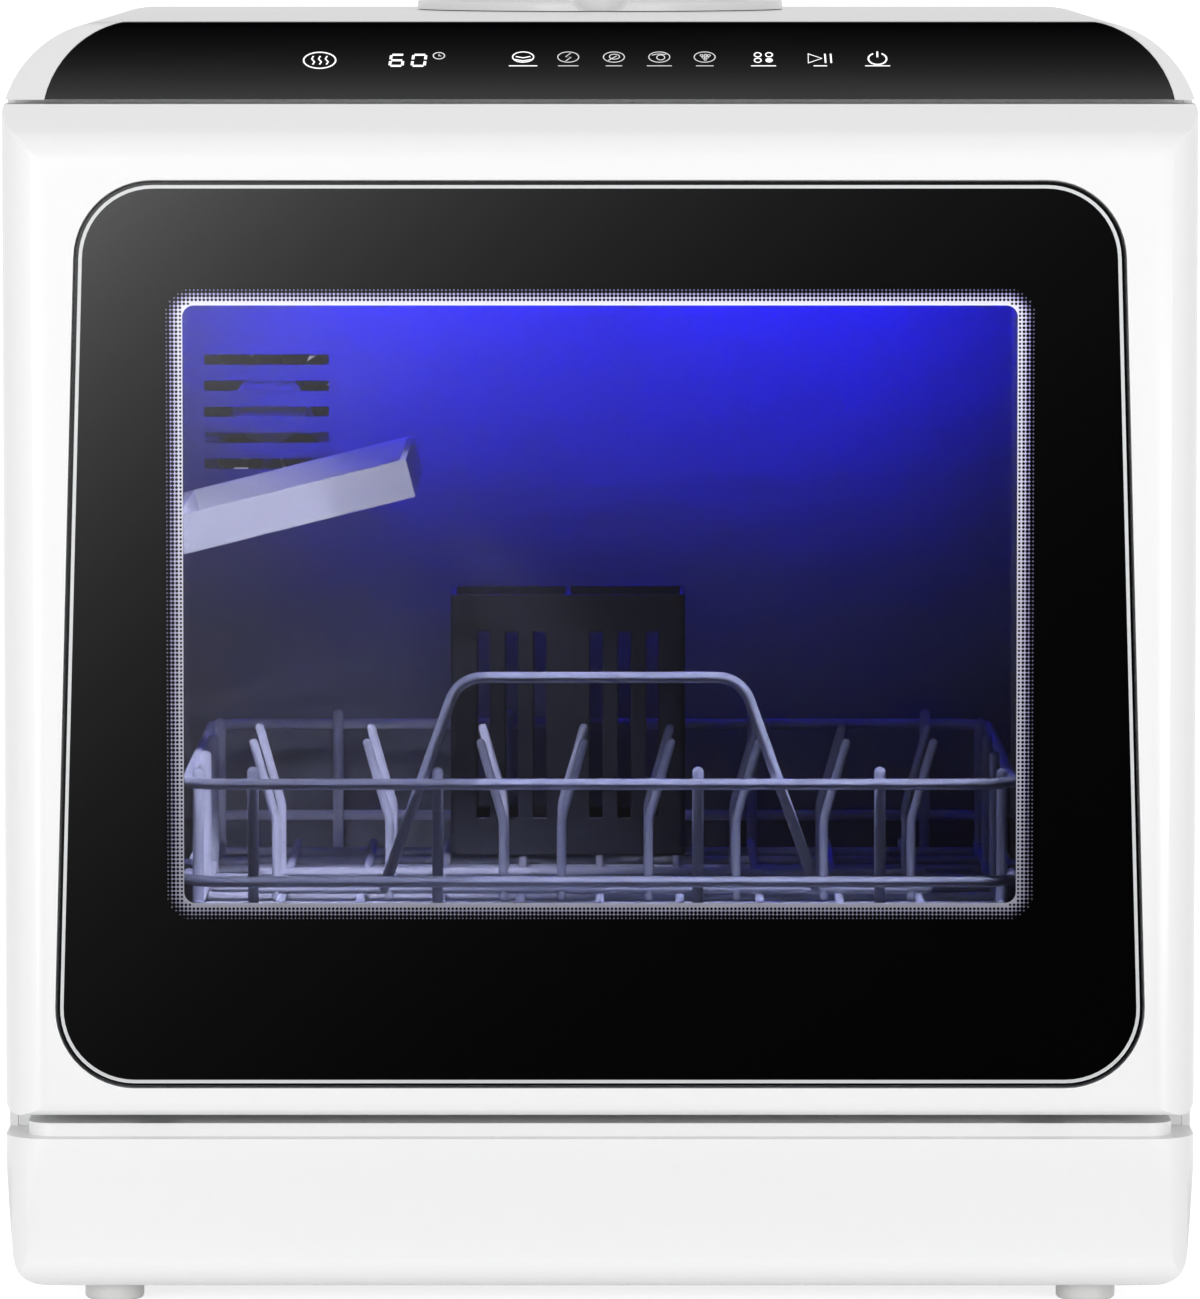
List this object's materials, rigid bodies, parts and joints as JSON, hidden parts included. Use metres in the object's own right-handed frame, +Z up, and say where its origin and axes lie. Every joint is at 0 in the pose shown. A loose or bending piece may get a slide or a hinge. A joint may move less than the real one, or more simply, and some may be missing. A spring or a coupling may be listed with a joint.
{
  "type": "countertop dishwasher",
  "caption": "Free-standing countertop dishwasher with a drop-down glass door, sliding wire rack, folding cup shelf, two spray arms, touch panel and a lidded water tank.",
  "frame": {"origin": "middle of the footprint, on the surface the feet stand on", "axes": "+X to the right seen from the front, +Y to the rear, +Z up; the door faces -Y"},
  "size_m": [0.42, 0.43, 0.4584],
  "materials": {
    "white_shell": "glossy white moulding, fine moulded skin",
    "white_inner": "satin white moulding",
    "panel_glass": "gloss black touch panel with printed signs",
    "dark_glass": "clear toughened glass",
    "black_print": "black print behind the glass",
    "bright_line": "bright silver inlay",
    "chamber_steel": "satin stainless sheet",
    "coated_wire": "nylon-coated steel wire",
    "grey_plastic": "grey moulded plastic",
    "dark_plastic": "dark moulded plastic",
    "pale_plastic": "pale moulded plastic",
    "soft_rubber": "soft seal rubber",
    "foot_rubber": "pale rubber",
    "zinc": "bright zinc plate",
    "board": "green circuit board",
    "lamp_lens": "translucent blue lamp lens",
    "tank_plastic": "milky translucent tank",
    "orange_plastic": "orange moulded plastic"
  },
  "bodies": {
    "cabinet": {"base_tray": "white_shell", "rubber_feet": "foot_rubber", "outer_casing": "white_shell", "front_frame": "white_inner", "rear_cover": "white_shell", "rear_screws": "zinc", "touch_panel": "panel_glass", "control_board": "board", "latch_housing": "dark_plastic", "tub": "chamber_steel", "door_seal": "soft_rubber", "chamber_lamp": "lamp_lens", "shelf_bracket": "zinc", "sump": "grey_plastic", "wash_pump": "dark_plastic", "drain_pump": "dark_plastic", "drain_hose": "grey_plastic", "drain_spigot": "grey_plastic", "inlet_valve": "pale_plastic", "fill_pump": "dark_plastic", "feed_pipe": "grey_plastic", "heater": "zinc", "lower_post": "grey_plastic", "upper_post": "grey_plastic", "water_tank": "tank_plastic", "tank_strainer": "pale_plastic", "power_board": "board", "cable_gland": "dark_plastic", "fan_housing": "grey_plastic", "fan_motor": "zinc", "hinge_brackets": "zinc"},
    "door": {"door_shell": "white_shell", "door_glass": "dark_glass", "glass_mask": "black_print", "trim_ring": "bright_line", "door_liner": "chamber_steel", "window_gasket": "soft_rubber", "inner_window": "dark_glass", "detergent_cup": "grey_plastic", "door_hook": "zinc", "hinge_pins": "zinc"},
    "cup_cover": {"detergent_cover": "pale_plastic"},
    "rack": {"rack_floor": "coated_wire", "rack_ends": "coated_wire", "rack_sides": "coated_wire", "rack_glides": "dark_plastic", "rack_hoop": "coated_wire", "front_tines": "coated_wire", "rear_tines": "coated_wire"},
    "basket": {"cutlery_basket": "dark_plastic"},
    "shelf": {"cup_shelf": "pale_plastic"},
    "lower_arm": {"lower_spray_arm": "chamber_steel"},
    "upper_arm": {"upper_spray_arm": "chamber_steel"},
    "filter": {"filter_cup": "grey_plastic"},
    "lid": {"tank_lid": "white_shell", "lid_seal": "soft_rubber", "lid_rod": "zinc"},
    "fan": {"fan_wheel": "dark_plastic"},
    "pawl": {"latch_pawl": "orange_plastic"},
    "float": {"flood_float": "orange_plastic"}
  },
  "joints": [
    {"name": "door_hinge", "type": "hinge", "parent": "cabinet", "child": "door", "pos_m": [0, -0.203, 0.082], "axis": [1, 0, 0], "range_deg": [0, 90]},
    {"name": "rack_slide", "type": "slide", "parent": "cabinet", "child": "rack", "axis": [0, -1, 0], "range_m": [0, 0.112]},
    {"name": "basket_lift", "type": "slide", "parent": "rack", "child": "basket", "axis": [0, 0, 1], "range_m": [0, 0.1]},
    {"name": "cup_cover_slide", "type": "slide", "parent": "door", "child": "cup_cover", "axis": [1, 0, 0], "range_m": [0, 0.06]},
    {"name": "shelf_fold", "type": "hinge", "parent": "cabinet", "child": "shelf", "pos_m": [-0.157, -0.034, 0.264], "axis": [0, -1, 0], "range_deg": [0, 72]},
    {"name": "lower_arm_spin", "type": "hinge", "parent": "cabinet", "child": "lower_arm", "pos_m": [0, -0.03, 0.122], "axis": [0, 0, 1], "continuous": true},
    {"name": "upper_arm_spin", "type": "hinge", "parent": "cabinet", "child": "upper_arm", "pos_m": [0, -0.03, 0.366], "axis": [0, 0, 1], "continuous": true},
    {"name": "filter_twist", "type": "hinge", "parent": "cabinet", "child": "filter", "pos_m": [0.08, -0.075, 0.1], "axis": [0, 0, 1], "range_deg": [0, 60]},
    {"name": "lid_hinge", "type": "hinge", "parent": "cabinet", "child": "lid", "pos_m": [0, 0.2005, 0.4562], "axis": [-1, 0, 0], "range_deg": [0, 100]},
    {"name": "fan_spin", "type": "hinge", "parent": "cabinet", "child": "fan", "pos_m": [-0.128, 0.19, 0.3], "axis": [0, 1, 0], "continuous": true},
    {"name": "pawl_lift", "type": "slide", "parent": "cabinet", "child": "pawl", "axis": [0, 0, 1], "range_m": [0, 0.003], "stiffness_N_per_m": 300},
    {"name": "float_lift", "type": "slide", "parent": "cabinet", "child": "float", "axis": [0, 0, 1], "range_m": [0, 0.01]}
  ],
  "couplings": [
    {"joint": "rack_slide", "follows": "door_hinge", "m_per_rad": 0.07}
  ]
}
